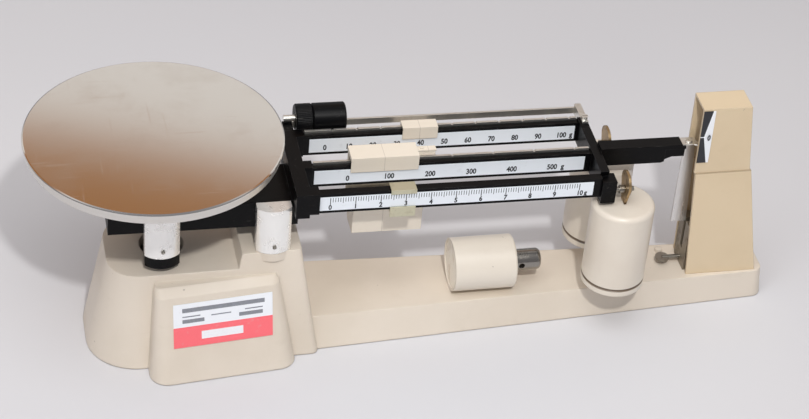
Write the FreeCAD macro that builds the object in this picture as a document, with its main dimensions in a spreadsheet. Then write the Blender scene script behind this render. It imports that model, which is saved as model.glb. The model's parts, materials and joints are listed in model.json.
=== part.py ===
import FreeCAD, Part
import os
import Sketcher

# A triple beam balance. Millimetres, +Z up. The origin is on the table under the middle of the pan,
# +X runs along the beams from the pan to the pointer, and +Y to the back.
# The beam and all it carries are drawn level, then turned together about the fulcrum by the rest tilt.

os.makedirs("parts", exist_ok=True)
doc = FreeCAD.newDocument("triple_beam_balance")
sheet = doc.addObject("Spreadsheet::Sheet", "dims")

SIZES = {
    # fits
    "gap": 0.3, "play": 0.05,
    # pan
    "pan_rad": 76.2, "pan_top": 145.0, "pan_skirt": 7.0, "pan_wall": 1.0, "pan_roll": 1.0, "pan_lean": 1.4,
    # base casting
    "tray_top": 19.8, "tray_end": 391.5, "tray_half_left": 27.3, "tray_half_right": 15.2,
    "foot_half_left": 40.5, "foot_half_right": 16.6, "end_draft": 2.0,
    "ped_left": -42.3, "ped_low_left": -29.5, "ped_low": 63.0, "ped_high": 72.6, "ped_step": 49.0,
    "ped_right": 86.0, "ped_foot_right": 97.0, "ped_half_low": 29.2, "ped_half_high": 26.2,
    "ped_foot_half": 40.5, "cavity_half": 20.0, "ped_wall": 7.0,
    "label_top": 58.0, "label_left": 6.6, "label_long": 60.4, "label_low": 23.4, "label_tall": 27.4,
    "block_left": -7.5, "block_right": 82.0, "block_foot": 58.0, "block_brow": 42.8, "block_turn": 8.6,
    "stem_hole_rad": 13.4,
    # fulcrum and pan knife
    "fulcrum_x": 68.6, "fulcrum_z": 94.0, "knife_x": 2.3, "knife_rise": 1.4, "tilt": 0.658,
    "knife_half": 1.8, "link_z": 30.0,
    # bearing covers
    "cover_half": 10.4, "cover_rad": 14.0, "cover_front": 29.0, "cover_back": 18.6, "cover_thick": 0.8,
    "cover_low": 73.0, "cover_top": 104.4, "post_low": 66.9,
    # beam castings
    "arm_left": -29.0, "arm_half": 18.3, "arm_low": 86.4, "arm_high": 104.2,
    "yoke_left": 80.0, "yoke_right": 93.0, "beam_high": 115.5, "beam_low": 101.8, "beam_thick": 5.2,
    "cross_left": 267.0, "cross_right": 272.5, "frame_high": 117.0,
    "front_y": -28.95, "middle_y": -3.02, "rear_y": 28.95, "frame_half": 33.0,
    "nose_end": 327.0, "nose_half": 4.5, "nose_high": 119.0, "nose_low": 106.5,
    # scales
    "plate_front_left": 94.0, "plate_front_right": 261.8, "plate_middle_left": 95.2,
    "plate_middle_right": 263.0,
    "plate_rear_left": 97.6, "plate_rear_right": 265.1,
    "plate_high": 113.5, "plate_tall": 9.6, "plate_thick": 0.5,
    "rail_tall": 1.6, "rail_thick": 1.6, "notch_rad": 0.9,
    "middle_notch_start": 129.0, "middle_notch_pitch": 25.6, "rear_notch_start": 112.3,
    "rear_notch_pitch": 14.95,
    # poises
    "poise_big_left": 117.0, "poise_big_long": 41.5, "poise_big_shift": 2.4, "poise_big_over": 3.9,
    "poise_big_front": 6.6,
    "poise_big_back": 4.8, "poise_big_low": 70.0, "poise_big_floor": 10.0, "poise_small_left": 155.0,
    "poise_small_long": 22.0,
    "rider_left": 136.7, "rider_long": 15.4,
    # tare
    "tare_y": 45.2, "tare_z": 118.2, "tare_rad": 9.0, "stud_rad": 2.1, "stud_rise": 0.4, "tare_left": 90.8,
    "tare_ring": 10.5, "tare_drum": 20.5,
    "bar_thick": 1.4, "bar_tall": 4.2, "bar_high": 116.0,
    # hung weights
    "weight_rad": 19.6, "weight_long": 60.0, "weight_low": 32.8, "weight_front_room": 6.4,
    "weight_rear_room": 0.8,
    "weight_seam": 0.9, "hanger_x": 283.0, "hanger_wide": 16.0, "hanger_thick": 1.6, "pin_rad": 1.6,
    "pin_z": 104.5,
    # spare weight
    "spare_rad": 16.8, "spare_left": 184.0, "spare_long": 39.5, "spare_y": -7.0,
    "stem_rad": 6.8, "stem_long": 17.8,
    # tower
    "tower_left": 338.1, "tower_right": 384.0, "tower_half": 13.7, "tower_mid": 97.0,
    "tower_top": 145.3, "tower_top_left": 332.7, "tower_top_right": 363.7, "tower_top_half": 9.15,
    "tower_mid_left": 334.2, "tower_mid_right": 370.5, "tower_mid_half": 9.9, "tower_wall": 1.6,
    "tower_lip": 0.8,
    # damper
    "lock_reach": 12.4, "lock_rad": 4.4, "lock_thick": 1.4, "lock_rise": 4.2, "lock_shaft": 1.5,
    "vane_left": 329.0, "vane_right": 334.8, "vane_high": 104.0, "vane_low": 56.5, "vane_thick": 1.2,
}
for row, (alias, value) in enumerate(SIZES.items(), start=1):
    sheet.set(f"A{row}", alias)
    sheet.set(f"B{row}", str(value))
    sheet.setAlias(f"B{row}", alias)
doc.recompute()


def bound(text):
    """The expression with each size's name pointing at its cell of the sheet."""
    words = []
    word = ""
    for letter in str(text) + " ":
        if letter.isalnum() or letter == "_":
            word += letter
        else:
            words.append("dims." + word if word in SIZES else word)
            words.append(letter)
            word = ""
    return "".join(words).strip()


def value(text):
    """The number that an expression on the sheet's sizes gives."""
    return float(sheet.evalExpression(bound(text)))


# how far the pan knife stands above the fulcrum in the rest pose
LIFT = "(knife_rise + (fulcrum_x - knife_x) * sin(tilt))"
# how far out the knife edges reach, inside the covers
KNIFE_END = "(cover_front - 3.2)"
# how far a weight's pin drops in the rest pose
DROP = "((hanger_x - fulcrum_x) * sin(tilt))"
LEVEL = "level"
TILTED = "tilted"
parts = []
made = {}


def new_body(label, group=LEVEL):
    """An empty body; a tilted one is turned about the fulcrum with the beam."""
    body = doc.addObject("PartDesign::Body", "Body_" + label)
    body.Label = label
    if group == TILTED:
        turn = "rotation(vector(0; 1; 0); dims.tilt)"
        pivot = "vector(dims.fulcrum_x; 0; dims.fulcrum_z)"
        level = "rotation(vector(0; 1; 0); 0)"
        body.setExpression("Placement", f"placement({pivot}; {turn}) * placement(-1 * {pivot}; {level})")
    parts.append(body)
    return body


def feature(body, kind):
    made[body.Name] = made.get(body.Name, 0) + 1
    return body.newObject("PartDesign::" + kind, f"{body.Name}_{kind}_{made[body.Name]}")


def origin_plane(body, role):
    return next(item for item in body.Origin.OriginFeatures if item.Role == role)


def place(item, x, y, z, rotation=None):
    if rotation is not None:
        item.Placement = FreeCAD.Placement(FreeCAD.Vector(0, 0, 0), rotation)
    for axis, text in zip("xyz", (x, y, z)):
        item.setExpression("Placement.Base." + axis, bound(text))


def box(body, x, y, z, cut=False):
    """A block between pairs of expressions for its low and high faces."""
    item = feature(body, "SubtractiveBox" if cut else "AdditiveBox")
    for side, (low, high) in zip(("Length", "Width", "Height"), (x, y, z)):
        item.setExpression(side, bound(f"({high}) - ({low})"))
    place(item, x[0], y[0], z[0])
    return item


ALONG = {
    "x": FreeCAD.Rotation(FreeCAD.Vector(0, 1, 0), 90),
    "y": FreeCAD.Rotation(FreeCAD.Vector(1, 0, 0), -90),
    "z": FreeCAD.Rotation(),
}


def rod(body, axis, radius, start, length, cut=False):
    """A cylinder from its start point along +axis."""
    item = feature(body, "SubtractiveCylinder" if cut else "AdditiveCylinder")
    item.setExpression("Radius", bound(radius))
    item.setExpression("Height", bound(length))
    place(item, *start, rotation=ALONG[axis])
    return item


def outline(body, points, role="XY_Plane", offset="0"):
    """A closed sketch through the points, each held to the origin by two bound distances.

    A point is (x, y); (x, y, radius) rounds its corner; (x, y, radius,
                                                          "arc") bows the side that starts there.
    """
    made[body.Name] = made.get(body.Name, 0) + 1
    sketch = body.newObject("Sketcher::SketchObject", f"{body.Name}_Outline_{made[body.Name]}")
    sketch.AttachmentSupport = [(origin_plane(body, role), "")]
    sketch.MapMode = "FlatFace"
    sketch.setExpression("AttachmentOffset.Base.z", bound(offset))
    corner = [FreeCAD.Vector(value(point[0]), value(point[1]), 0) for point in points]
    count = len(corner)
    area = sum(corner[i - 1].x * corner[i].y - corner[i].x * corner[i - 1].y for i in range(count))
    starts = []
    for index, point in enumerate(points):
        here = corner[index]
        there = corner[(index + 1) % count]
        if len(point) == 4:
            across = (there - here) / 2
            bulge = value(point[2]) - (value(point[2]) ** 2 - across.Length ** 2) ** 0.5
            out = FreeCAD.Vector(across.y, -across.x, 0).normalize() * (bulge if area > 0 else -bulge)
            middle = here + across + out
            sketch.addGeometry(Part.Arc(here, middle, there) if area > 0 else Part.Arc(there, middle,
                                                                                       here), False)
            starts.append((1, 2) if area > 0 else (2, 1))
        else:
            sketch.addGeometry(Part.LineSegment(here, there), False)
            starts.append((1, 2))
    for index in range(count):
        after = (index + 1) % count
        sketch.addConstraint(Sketcher.Constraint("Coincident", index, starts[index][1], after,
                                                 starts[after][0]))
    for index, point in enumerate(points):
        held = (index, starts[index][0])
        if len(point) == 4:
            bind(sketch, Sketcher.Constraint("Radius", index, value(point[2])), point[2])
        if len(point) == 3:
            before = sketch.GeometryCount
            here = corner[index]
            ahead = corner[(index + 1) % count]
            behind = corner[index - 1]
            radius = value(point[2])
            sketch.fillet((index - 1) % count, index, here * 0.7 + behind * 0.3, here * 0.7 + ahead * 0.3,
                          radius,
                          True, True)
            for added in range(before, sketch.GeometryCount):
                if isinstance(sketch.Geometry[added], Part.ArcOfCircle):
                    bind(sketch, Sketcher.Constraint("Radius", added, radius), point[2])
                else:
                    held = (added, 1)
        bind(sketch, Sketcher.Constraint("DistanceX", -1, 1, *held, corner[index].x), point[0])
        bind(sketch, Sketcher.Constraint("DistanceY", -1, 1, *held, corner[index].y), point[1])
    return sketch


def bind(sketch, constraint, text):
    """Add a constraint and bind its value to the sheet."""
    number = sketch.addConstraint(constraint)
    sketch.setExpression(f"Constraints[{number}]", bound(text))


def pad(body, points, length, role="XY_Plane", offset="0", cut=False, reverse=False):
    item = feature(body, "Pocket" if cut else "Pad")
    item.Profile = outline(body, points, role, offset)
    item.setExpression("Length", bound(length))
    item.Reversed = reverse
    return item


def loft(body, low, low_z, high, high_z, cut=False):
    """A straight-sided loft between two level outlines."""
    item = feature(body, "SubtractiveLoft" if cut else "AdditiveLoft")
    item.Profile = outline(body, low, offset=low_z)
    item.Sections = [outline(body, high, offset=high_z)]
    item.Ruled = True
    return item


def turned(body, points):
    """A solid of revolution about its own Z axis from (radius, height) points."""
    item = feature(body, "Revolution")
    item.Profile = outline(body, points, role="XZ_Plane")
    item.ReferenceAxis = (origin_plane(body, "Z_Axis"), [""])
    item.Angle = 360
    return item


def rounded(body, base, radius, choose, kind="Fillet"):
    """A fillet or chamfer on the edges of the base feature that the test picks."""
    doc.recompute()
    picked = [f"Edge{n}" for n, edge in enumerate(base.Shape.Edges, start=1) if choose(edge)]
    item = feature(body, kind)
    item.Base = (base, picked)
    item.setExpression("Radius" if kind == "Fillet" else "Size", bound(radius))
    doc.recompute()
    return item


def plan(left, right, half_left, half_right, round_left, round_right):
    """A rounded plan outline, symmetric about the middle plane."""
    return [(left, f"-({half_left})", round_left), (right, f"-({half_right})", round_right),
            (right, half_right, round_right), (left, half_left, round_left)]


def label_block(left, right, front_left, front_right, radius):
    return [(left, "-20", "1"), (left, front_left, radius), (right, front_right, radius),
            (right, "-20", "1")]


def corners(left, right, half_left, half_right):
    """A trapezium in plan, symmetric about the middle plane."""
    return [(left, f"-({half_left})"), (right, f"-({half_right})"), (right, half_right), (left, half_left)]


# ---------------------------------------------------------------- base and what stands on it
def base():
    body = new_body("base")
    loft(body, plan("0", "tray_end", "foot_half_left", "foot_half_right", "1", "7"), "0",
         plan("0", "tray_end - end_draft", "tray_half_left + 3.4", "tray_half_right", "1", "6"), "tray_top")
    loft(body, plan("ped_left", "ped_foot_right", "ped_foot_half", "ped_foot_half - 2", "31", "4"), "0",
         plan("ped_low_left", "ped_right + 1.4", "ped_half_low", "ped_half_high + 1.8", "19", "3"),
         "ped_low")
    loft(body, plan("ped_step - 1.2", "ped_right + 1.4", "ped_half_high + 2.2", "ped_half_high + 1.8", "1",
                    "3"),
         "ped_low", plan("ped_step + 0.8", "ped_right", "ped_half_high + 0.3", "ped_half_high", "1", "3"),
         "ped_high")
    # the leaning block that carries the label, turned a little in plan
    foot = label_block("block_left", "block_right", "-(block_foot)", "-(block_foot) + block_turn", "11")
    brow = label_block("block_left + 3.6", "block_right - 9.8", "-(block_brow)",
                       "-(block_brow) + block_turn - 1", "5.5")
    crown = label_block("-2.8", "70.4", "-36.6", "-30.2", "3")
    loft(body, foot, "0", brow, "label_top - 3.2")
    loft(body, brow, "label_top - 3.2", crown, "label_top + 0.8")
    # posts that hold the fulcrum bearings, one on each side of the beam
    for side in (-1, 1):
        post(body, side)
    # the hollow under the pedestal, open below, for the check link
    cavity = [("ped_low_left + ped_wall", "-cavity_half"), ("ped_right - ped_wall", "-cavity_half"),
              ("ped_right - ped_wall", "cavity_half"), ("ped_low_left + ped_wall", "cavity_half")]
    pad(body, cavity, "ped_low - ped_wall", cut=True, reverse=True)
    rod(body, "z", "stem_hole_rad", ("knife_x + 2.4", "1.5", "ped_low - 2 * ped_wall"), "3 * ped_wall",
        cut=True)
    # the raised lip behind the spare weight's place
    rod(body, "z", "2.4", ("tower_left - 11", "11.4", "tray_top - 1"), "3.2")


def bow(side, front, back, half, radius):
    """The plan outline of a post or cover: flat at the back, a shallow arc at the front."""
    edge = f"({front}) - ({radius}) + sqrt(({radius}) ^ 2 - ({half}) ^ 2)"
    return [(f"-({half})", f"{side} * ({back})"), (half, f"{side} * ({back})"),
            (half, f"{side} * ({edge})", radius, "arc"), (f"-({half})", f"{side} * ({edge})")]


def shifted(points, x):
    return [(f"({x}) + {point[0]}", *point[1:]) for point in points]


def post(body, side):
    """A bowed post: full width below the cover, thinner inside it, with a socket for the bearing."""
    foot = bow(side, "cover_front", "cover_back", "cover_half", "cover_rad")
    pad(body, shifted(foot, "fulcrum_x"), "cover_low - gap - post_low", offset="post_low")
    core = bow(side, "cover_front - cover_thick - play", "cover_back", "cover_half - cover_thick - play",
               "cover_rad - cover_thick - play")
    pad(body, shifted(core, "fulcrum_x"), "cover_top - cover_thick - play - cover_low + 1",
        offset="cover_low - 1")
    near = ("cover_back - 1", "cover_front - 3") if side > 0 else ("-(cover_front - 3)",
                                                                   "-(cover_back - 1)")
    box(body, ("fulcrum_x - 4", "fulcrum_x + 4"), near, ("fulcrum_z - 9", "fulcrum_z + 5"), cut=True)


def fulcrum_bearing(name, side):
    body = new_body(name)
    near = ("cover_back", "cover_front - 3.2") if side > 0 else ("-(cover_front - 3.2)", "-(cover_back)")
    box(body, ("fulcrum_x - 4 + play", "fulcrum_x + 4 - play"), near,
        ("fulcrum_z - 9 + play", "fulcrum_z - gap - 1"))
    groove = [("fulcrum_x", "fulcrum_z - 2.4 - gap"), ("fulcrum_x + 3.4", "fulcrum_z"),
              ("fulcrum_x - 3.4", "fulcrum_z")]
    pad(body, groove, "2 * cover_front", role="XZ_Plane", offset="-(cover_front)", cut=True, reverse=True)


def cover(name, x, side, low, group=LEVEL, rise="0"):
    """A bowed sheet cap with a flat top over a bearing."""
    body = new_body(name)
    pad(body, shifted(bow(side, "cover_front", "cover_back", "cover_half", "cover_rad"), x),
        f"cover_top + ({rise}) - ({low})", offset=low)
    inner = bow(side, "cover_front - cover_thick", "cover_back - 1", "cover_half - cover_thick",
                "cover_rad - cover_thick")
    pad(body, shifted(inner, x), f"cover_top + ({rise}) - ({low}) - cover_thick", offset=low, cut=True,
        reverse=True)
    if rise != "0":
        near = ("cover_back - 1", "cover_back + 4 + gap") if side > 0 else ("-(cover_back + 4 + gap)",
                                                                            "-(cover_back - 1)")
        box(body, (f"{x} - 5 - gap", f"{x} + 5 + gap"), near, ("cover_top - 1", "cover_top + 4"), cut=True)


def screw_head(name, x, y, z, side):
    """A small slotted screw through the face of a cover."""
    body = new_body(name)
    start = f"{y} + play" if side > 0 else f"{y} - play - 0.8"
    rod(body, "y", "1.2", (x, start, z), "0.8")
    slot = (f"{y} + 0.5", f"{y} + 1.2") if side > 0 else (f"{y} - 1.2", f"{y} - 0.5")
    box(body, (f"({x}) - 2", f"({x}) + 2"), slot, (f"({z}) - 0.2", f"({z}) + 0.2"), cut=True)


def label_plate():
    """The printed label, laid on the leaning face of the block."""
    body = new_body("label_plate")

    def face(x, z):
        """How far to the front the block's leaning face lies."""
        low = f"(-(block_foot) + block_turn * (({x}) - block_left) / (block_right - block_left))"
        along = f"(({x}) - block_left - 3.6) / (block_right - block_left - 13.4)"
        high = f"(-(block_brow) + (block_turn - 1) * {along})"
        share = f"(({z}) / (label_top - 3.2))"
        return f"{low} * (1 - {share}) + {high} * {share}"

    def strip(z):
        left = face("label_left", z)
        right = face("label_left + label_long", z)
        return [("label_left", f"{left} - 0.55"), ("label_left + label_long", f"{right} - 0.55"),
                ("label_left + label_long", f"{right} - 0.2"), ("label_left", f"{left} - 0.2")]

    loft(body, strip("label_low"), "label_low", strip("label_low + label_tall"), "label_low + label_tall")


def tower():
    """The U-shaped housing at the pointer's end, open to the left, with a small step half way up."""
    body = new_body("tower")

    def shell(left, right, half, low, top_left, top_right, top_half, high):
        loft(body, corners(left, right, half, half), low, corners(top_left, top_right, top_half, top_half),
             high)

    shell("tower_left", "tower_right", "tower_half", "tray_top + play", "tower_mid_left", "tower_mid_right",
          "tower_mid_half", "tower_mid")
    shell("tower_mid_left - tower_lip", "tower_mid_right - tower_lip", "tower_mid_half - tower_lip",
          "tower_mid",
          "tower_top_left", "tower_top_right", "tower_top_half", "tower_top")
    loft(body, corners("tower_left - 12", "tower_right - tower_wall", "tower_half - tower_wall",
                       "tower_half - tower_wall"),
         "tray_top - 1",
         corners("tower_mid_left - 12", "tower_mid_right - tower_lip - tower_wall",
                 "tower_mid_half - tower_lip - tower_wall", "tower_mid_half - tower_lip - tower_wall"),
         "tower_mid + 0.01", cut=True)
    loft(body, corners("tower_mid_left - 12", "tower_mid_right - tower_lip - tower_wall",
                       "tower_mid_half - tower_lip - tower_wall",
                       "tower_mid_half - tower_lip - tower_wall"), "tower_mid",
         corners("tower_top_left - 12", "tower_top_right - tower_wall", "tower_top_half - tower_wall",
                 "tower_top_half - tower_wall"), "tower_top - tower_wall", cut=True)


def index_plate():
    """The zero mark's plate on the front wall of the tower, at its open edge."""
    body = new_body("index_plate")
    front_low = "-(tower_mid_half - tower_lip) - plate_thick - 0.06"
    low = [("tower_mid_left - tower_lip + 0.1", front_low), ("tower_mid_left + 6.6", front_low),
           ("tower_mid_left + 6.6", "-(tower_mid_half - tower_lip) - 0.06"),
           ("tower_mid_left - tower_lip + 0.1", "-(tower_mid_half - tower_lip) - 0.06")]
    high = [("tower_top_left + 0.1", "-tower_top_half - plate_thick - 0.06"),
            ("tower_top_left + 7.6", "-tower_top_half - plate_thick - 0.06"),
            ("tower_top_left + 7.6", "-tower_top_half - 0.06"),
            ("tower_top_left + 0.1", "-tower_top_half - 0.06")]
    loft(body, low, "tower_mid + 8.5", high, "tower_top - 1.3")


def damper_magnets():
    """The forked magnet block at the foot of the tower; the vane hangs in its slot."""
    body = new_body("damper_magnets")
    box(body, ("tower_left - 1", "tower_left + 14"), ("-9", "9"), ("tray_top + play", "tray_top + 34"))
    box(body, ("tower_left - 2", "tower_left + 15"), ("-1.9", "1.9"), ("tray_top + 12", "tray_top + 35"),
        cut=True)
    box(body, ("tower_left + 7", "tower_left + 15"), ("-10", "10"), ("tray_top + 18", "tray_top + 35"),
        cut=True)


def thumb_screw():
    """The lock screw at the open foot of the tower: a flat silver disc at the end of a dark shaft."""
    body = new_body("thumb_screw")
    start = "tower_left - lock_reach"
    rod(body, "z", "lock_rad", (start, "0", "tray_top + lock_rise - lock_thick / 2"), "lock_thick")
    rod(body, "x", "lock_shaft", (start, "0", "tray_top + lock_rise"), "lock_reach - 1 - play")


# ---------------------------------------------------------------- pan, carrier and check link
def pan():
    """The round dished pan with its turned-down skirt and the socket that sits on the carrier."""
    body = new_body("pan")
    turned(body, [("0", "pan_top - pan_wall - 6"), ("7", "pan_top - pan_wall - 6"),
                  ("7", "pan_top - pan_wall"),
                  ("pan_rad - pan_roll - pan_wall", "pan_top - pan_wall"),
                  ("pan_rad - pan_wall - 0.4", "pan_top - 2 * pan_wall"),
                  ("pan_rad - pan_wall - pan_lean", "pan_top - pan_skirt"),
                  ("pan_rad - pan_lean", "pan_top - pan_skirt"),
                  ("pan_rad", "pan_top - 0.9 * pan_roll"),
                  ("pan_rad - 0.3 * pan_roll", "pan_top - 0.3 * pan_roll"),
                  ("pan_rad - pan_roll", "pan_top"), ("0", "pan_top")])
    rod(body, "z", "3 + play", ("0", "0", "pan_top - 7.5"), "5", cut=True)


def carrier():
    """The yoke that hangs on the pan knife: two bowed legs, a bridge over the arm and the seat of the pan."""
    body = new_body("pan_carrier")
    box(body, ("knife_x - 9", "knife_x + 9"), ("-(cover_front - 2.4)", "cover_front - 2.4"),
        (f"cover_top + {LIFT} + gap", "cover_top + 6.6"))
    for side in (-1, 1):
        leg = bow(side, "cover_front - cover_thick - play", "cover_back", "cover_half - cover_thick - play",
                  "cover_rad - cover_thick - play")
        pad(body, shifted(leg, "knife_x"), f"cover_top + {LIFT} - cover_thick - play - cover_low",
            offset="cover_low")
        foot = bow(side, "cover_front", "cover_back", "cover_half", "cover_rad")
        pad(body, shifted(foot, "knife_x"), "7", offset="cover_low + 2 - gap - 7")
        neck = ("cover_back", "cover_back + 4") if side > 0 else ("-(cover_back + 4)", "-(cover_back)")
        box(body, ("knife_x - 5", "knife_x + 5"), neck, ("cover_top", "cover_top + 4"))
        near = ("cover_back - 1", "cover_front - 3") if side > 0 else ("-(cover_front - 3)",
                                                                       "-(cover_back - 1)")
        box(body, ("knife_x - 4", "knife_x + 4"), near,
            (f"fulcrum_z + {LIFT} - 4.6", f"fulcrum_z + {LIFT} + 2.4 + gap"), cut=True)
    rod(body, "z", "6", ("0", "0", "cover_top + 5"), "pan_top - pan_wall - 6 - play - cover_top - 5")
    rod(body, "z", "3", ("0", "0", "pan_top - 10"), "7.4")


def carrier_stem():
    """The rod from the carrier down through the pedestal, with the slotted eye of the check link."""
    body = new_body("carrier_stem")
    eye = f"link_z + {LIFT}"
    rod(body, "z", "3.5", ("knife_x", "0", eye), f"cover_top + gap - link_z")
    rod(body, "y", "5", ("knife_x", "-3", eye), "6")
    rod(body, "y", "1.8", ("knife_x", "-4", eye), "8", cut=True)


def check_link():
    """The lower bar that keeps the carrier upright; parallel to the line between the knives."""
    body = new_body("check_link")
    for side in (-1, 1):
        span = ("3.8", "5.2") if side > 0 else ("-5.2", "-3.8")
        box(body, ("knife_x - 4", "fulcrum_x + 4"), span, ("link_z - 3", "link_z + 6"))
    rod(body, "y", "1.2", ("knife_x", "-5", f"link_z + {LIFT}"), "10")
    box(body, ("fulcrum_x - 24", "fulcrum_x - 20"), ("-5", "5"), ("link_z - 2", "link_z + 2"))
    rod(body, "y", "1.5 + play", ("fulcrum_x", "-6", "link_z"), "12", cut=True)


def check_pivot():
    """The fixed pin that the check link turns on, across the hollow of the pedestal."""
    body = new_body("check_pivot")
    rod(body, "y", "1.5", ("fulcrum_x", "-(cavity_half)", "link_z"), "2 * cavity_half")


# ---------------------------------------------------------------- the beam and its fittings
def beam_arm():
    """The left casting: the arm under the pan and the wide yoke that holds the three beams."""
    body = new_body("beam_arm", TILTED)
    box(body, ("arm_left", "yoke_left + 4"), ("-arm_half", "arm_half"), ("arm_low", "arm_high"))
    box(body, ("yoke_left", "yoke_right - 4"), ("-31", "frame_half"), ("beam_low - 1.4", "frame_high"))
    box(body, ("yoke_left", "yoke_right + 1"), ("front_y - 2.2", "front_y + beam_thick + 1"),
        ("beam_low - 1.6", "frame_high"))
    box(body, ("yoke_left + 3", "yoke_right + 1"), ("middle_y - 1.2", "middle_y + beam_thick + 1"),
        ("beam_low", "frame_high"))
    box(body, ("yoke_left + 3", "yoke_right + 1"), ("rear_y - 1.2", "rear_y + beam_thick + 1"),
        ("beam_low", "frame_high"))
    box(body, ("yoke_right - 4.6", "yoke_right + 2"), ("front_y - 3", "front_y + beam_thick + 2"),
        ("beam_low - 2", "beam_low + 0.8"), cut=True)
    box(body, ("knife_x - 15", "knife_x + 17"), ("-11", "11"), ("arm_low - 1", "arm_high + 1"), cut=True)
    box(body, ("yoke_left + 3", "yoke_left + 9"), ("frame_half - 1", "tare_y + bar_thick / 2"),
        ("bar_high - bar_tall", "bar_high"))
    for x, rise in (("fulcrum_x", "0"), ("knife_x", "knife_rise")):
        rod(body, "y", "knife_half + play", (x, "-(arm_half) - 1", f"fulcrum_z + {rise}"),
            "2 * arm_half + 2", cut=True)


def knife_edge(body, x, rise, side):
    """A diamond edge that sticks out of one cheek of the arm."""
    centre = f"fulcrum_z + {rise}"
    edge = [(f"({x}) - 1.7", centre), (x, f"{centre} - 2.4"), (f"({x}) + 1.7", centre),
            (x, f"{centre} + 2.4")]
    start = f"-({KNIFE_END})" if side > 0 else "arm_half - 0.01"
    pad(body, edge, f"{KNIFE_END} - arm_half + 0.01", role="XZ_Plane", offset=start)


def knives():
    """The fulcrum knife through both cheeks, and a pan knife in each cheek."""
    body = new_body("fulcrum_knife", TILTED)
    rod(body, "y", "knife_half", ("fulcrum_x", "-(arm_half)", "fulcrum_z"), "2 * arm_half")
    for side, word in ((-1, "front"), (1, "rear")):
        knife_edge(body, "fulcrum_x", "0", side)
        short = new_body(f"pan_knife_{word}", TILTED)
        start = "-(arm_half)" if side < 0 else "12"
        rod(short, "y", "knife_half", ("knife_x", start, "fulcrum_z + knife_rise"), "arm_half - 12")
        knife_edge(short, "knife_x", "knife_rise", side)


def beam(name, face_y):
    """One slim beam between the left casting and the right cross member."""
    body = new_body(name, TILTED)
    box(body, ("yoke_right + 1", "cross_left"), (face_y, f"{face_y} + beam_thick"),
        ("beam_low", "beam_high"))


def scale_plate(name, face_y, left, right):
    body = new_body(name, TILTED)
    box(body, (left, right), (f"{face_y} - plate_thick", face_y), ("plate_high - plate_tall", "plate_high"))


def notched_rail(name, face_y, start, pitch, count):
    """A bright strip along the back of a beam's top with a notch at each stop of its poise."""
    body = new_body(name, TILTED)
    low = f"{face_y} + beam_thick - rail_thick"
    box(body, ("yoke_right + 2", "cross_left - 1"), (low, f"{face_y} + beam_thick"),
        ("beam_high", "beam_high + rail_tall"))
    for index in range(count):
        rod(body, "y", "notch_rad",
            (f"{start} + {index} * {pitch}", f"{low} - 1", "beam_high + rail_tall + 0.2"),
            "rail_thick + 2", cut=True)


def cross_member():
    body = new_body("cross_member", TILTED)
    box(body, ("cross_left", "cross_right"), ("-24", "frame_half"), ("beam_low - 0.8", "frame_high"))
    box(body, ("cross_left", "cross_right + 3.6"), ("-31", "-21.4"), ("beam_low - 3.6", "frame_high - 3.4"))


def nose():
    """The tapering arm that carries the pointer, with a recess cut in both sides near its end."""
    body = new_body("nose", TILTED)
    side = [("cross_right", "nose_low"), ("nose_end - 15", "nose_low"), ("nose_end - 8", "nose_low + 3"),
            ("nose_end", "nose_low + 3"), ("nose_end", "nose_high"), ("cross_right", "nose_high")]
    pad(body, side, "2 * nose_half", role="XZ_Plane", offset="-nose_half")
    box(body, ("nose_end - 13", "nose_end + 1"), ("-nose_half - 1", "-nose_half + 1.6"),
        ("nose_low", "nose_high - 3"), cut=True)
    box(body, ("nose_end - 13", "nose_end + 1"), ("nose_half - 1.6", "nose_half + 1"),
        ("nose_low", "nose_high - 3"), cut=True)
    box(body, ("nose_end - 2.4", "nose_end + 1"), ("-(nose_half) - 1", "nose_half + 1"),
        ("nose_high - 1.2", "nose_high + 1"), cut=True)


def pointer():
    """The pointed silver plate screwed on the end of the nose."""
    body = new_body("pointer_plate", TILTED)
    plan = [("nose_end - 2.3", "-3.6"), ("nose_end + 5", "-3.6"), ("nose_end + 7", "-4.6"),
            ("nose_end + 10.2", "-6.9"),
            ("nose_end + 8.6", "-3.2"), ("nose_end + 6.6", "3.6"), ("nose_end - 2.3", "3.6")]
    pad(body, plan, "1", offset="nose_high - 1.15")
    head = new_body("pointer_screw", TILTED)
    rod(head, "z", "2.3", ("nose_end + 2.6", "0", "nose_high - 0.1"), "1")
    box(head, ("nose_end", "nose_end + 6"), ("-0.25", "0.25"), ("nose_high + 0.5", "nose_high + 2"),
        cut=True)


def damper_vane():
    """The flat silver blade that hangs from the nose between the damper magnets."""
    body = new_body("damper_vane", TILTED)
    side = [("nose_end", "nose_high - 1.3"), ("nose_end", "vane_high"), ("vane_left - 1.4", "vane_low"),
            ("vane_right + 2.6", "vane_low"), ("vane_right", "vane_high + 4"),
            ("vane_right - 1", "nose_high - 1.3")]
    pad(body, side, "vane_thick", role="XZ_Plane", offset="-vane_thick / 2")


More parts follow.
